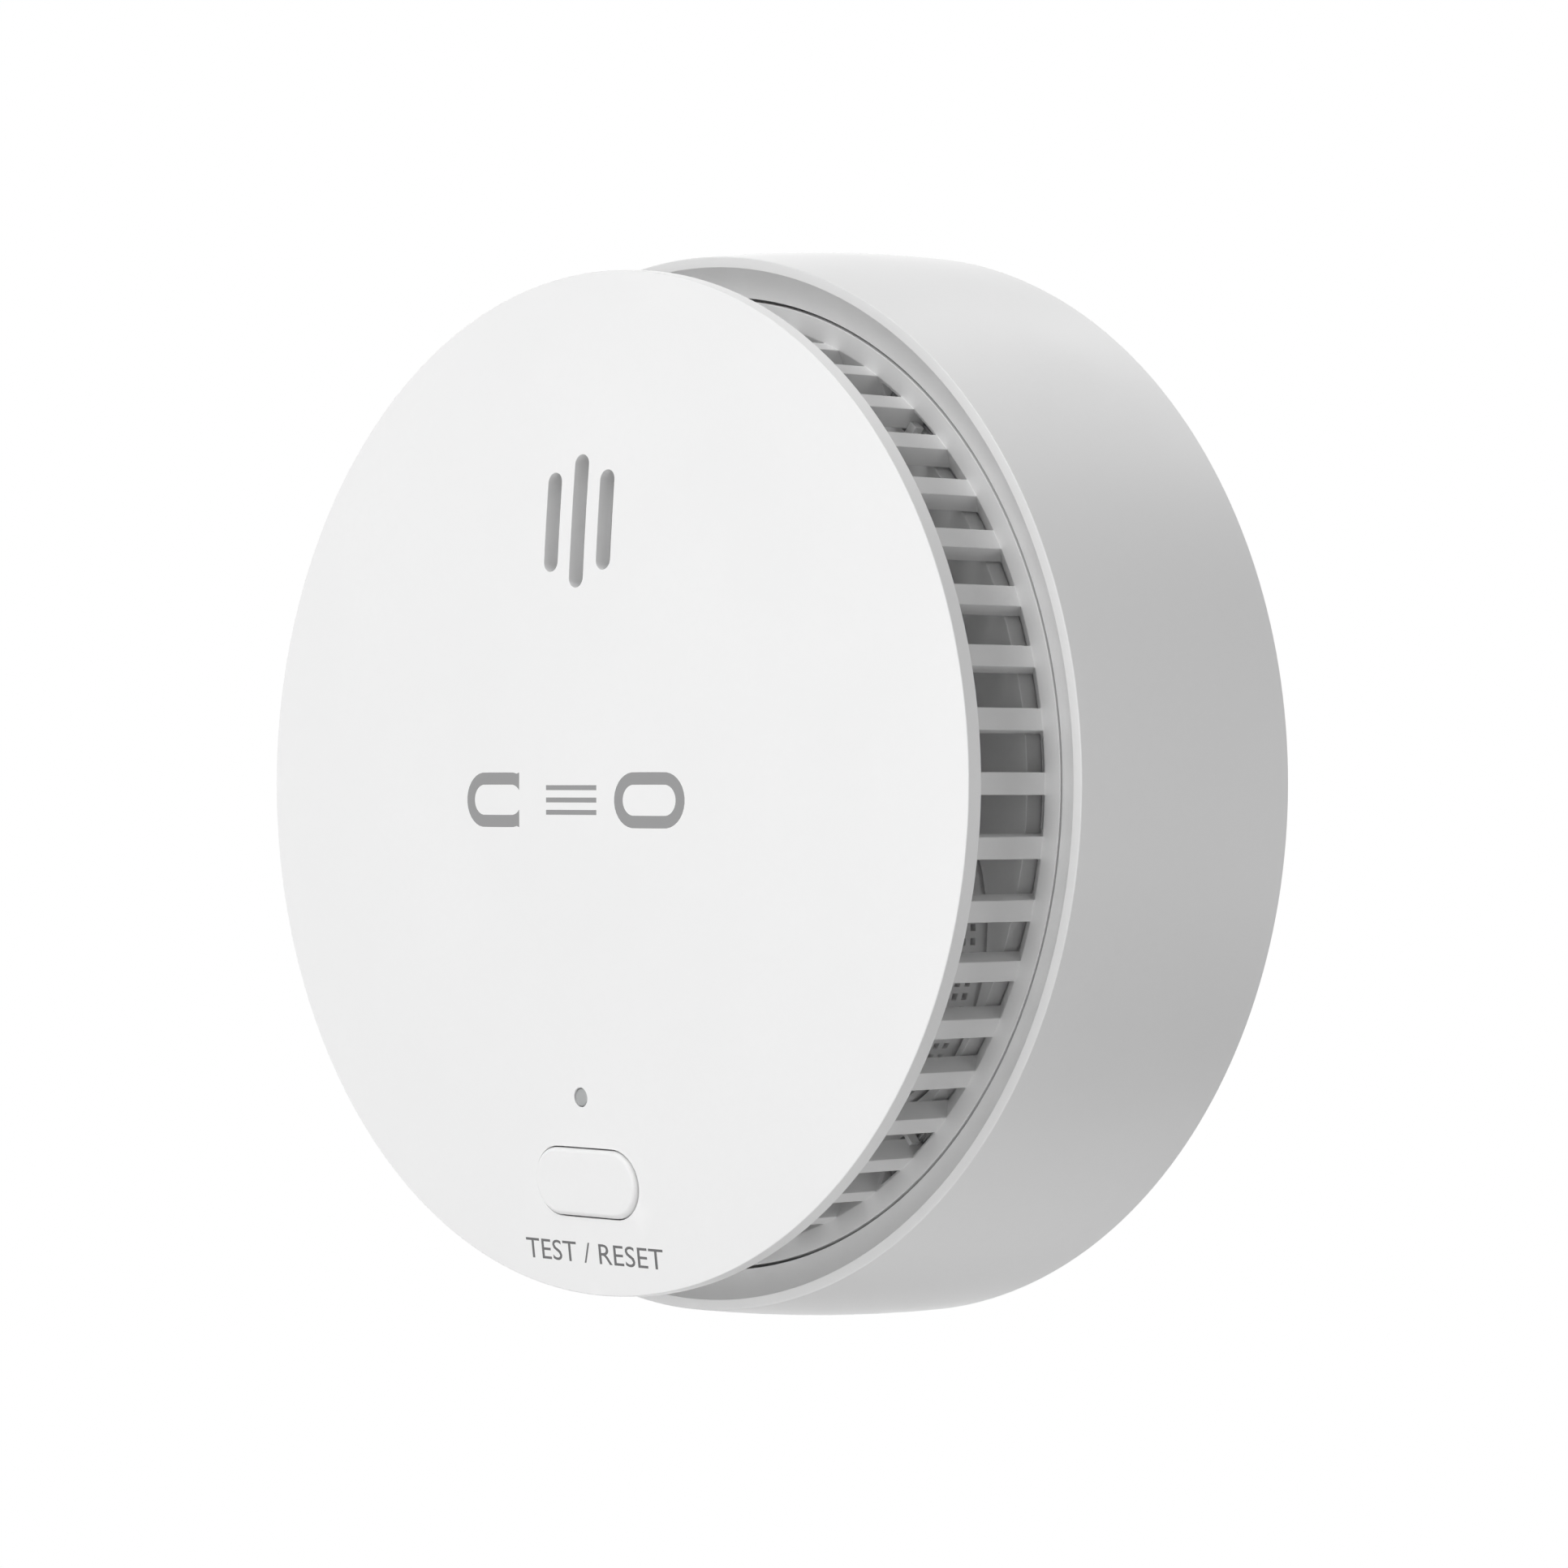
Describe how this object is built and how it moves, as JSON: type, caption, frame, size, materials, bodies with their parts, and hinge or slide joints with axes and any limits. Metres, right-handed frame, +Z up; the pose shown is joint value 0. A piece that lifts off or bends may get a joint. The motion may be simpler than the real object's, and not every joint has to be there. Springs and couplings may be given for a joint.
{
  "type": "carbon monoxide detector",
  "caption": "Round wall-mounted carbon monoxide detector: domed face over a ring of vents, twist-lock bracket, test button, CO cell, sounder, board and battery.",
  "frame": {"origin": "middle of the wall bracket's back face, which lies on the wall", "axes": "+Z up the wall, -Y out of the wall towards the room, +X to the right as seen from the room"},
  "size_m": [0.1126, 0.0463, 0.1126],
  "materials": {
    "white_abs": "fine satin",
    "grille_abs": "fine satin",
    "black_plastic": "matt",
    "clear_acrylic": "clear, frosted",
    "led_resin": "moulded resin",
    "board_green": "solder mask",
    "plated_steel": "nickel plated",
    "aluminium": "drawn can",
    "brass": "bright",
    "ferrite": "sintered",
    "ceramic": "fired",
    "cell_wrap": "shrink film",
    "label_film": "blank film",
    "red_sleeve": "lead sleeve",
    "black_sleeve": "lead sleeve"
  },
  "bodies": {
    "bracket": {"mounting_bracket": "white_abs"},
    "detector": {"rear_base": "white_abs", "base_screw_1": "plated_steel", "base_screw_2": "plated_steel", "base_screw_3": "plated_steel", "rear_label": "label_film", "housing_shell": "white_abs", "vent_frame": "grille_abs", "inner_deck": "grille_abs", "front_cover": "white_abs", "tact_switch_body": "black_plastic", "light_pipe": "clear_acrylic", "status_led": "led_resin", "circuit_board": "board_green", "board_screw_1": "plated_steel", "board_screw_2": "plated_steel", "board_screw_3": "plated_steel", "mcu_chip": "black_plastic", "sounder_inductor": "ferrite", "filter_capacitor": "aluminium", "co_cell_can": "plated_steel", "co_cell_cap": "black_plastic", "co_cell_pin_1": "plated_steel", "co_cell_pin_2": "plated_steel", "co_cell_pin_3": "plated_steel", "sensor_cage": "grille_abs", "sensor_cage_lid": "grille_abs", "sounder_housing": "grille_abs", "piezo_brass_disc": "brass", "piezo_ceramic": "ceramic", "sounder_retainer": "black_plastic", "sounder_contact_1": "brass", "sounder_contact_2": "brass", "battery_cell": "cell_wrap", "battery_holder": "black_plastic", "battery_contact_pos": "plated_steel", "battery_contact_neg": "plated_steel", "battery_lead_pos": "red_sleeve", "battery_lead_neg": "black_sleeve"},
    "button": {"test_button": "white_abs"},
    "switch_plunger": {"tact_switch_plunger": "black_plastic"}
  },
  "joints": [
    {"name": "detector_twist", "type": "hinge", "parent": "bracket", "child": "detector", "pos_m": [0, 0, 0], "axis": [0, -1, 0], "range_deg": [0, 15]},
    {"name": "button_press", "type": "slide", "parent": "detector", "child": "button", "axis": [0, 1, 0], "range_m": [0, 0.0005], "stiffness_N_per_m": 600},
    {"name": "plunger_press", "type": "slide", "parent": "detector", "child": "switch_plunger", "axis": [0, 1, 0], "range_m": [0, 0.0005]}
  ],
  "couplings": [
    {"joint": "plunger_press", "follows": "button_press", "ratio": 1}
  ]
}
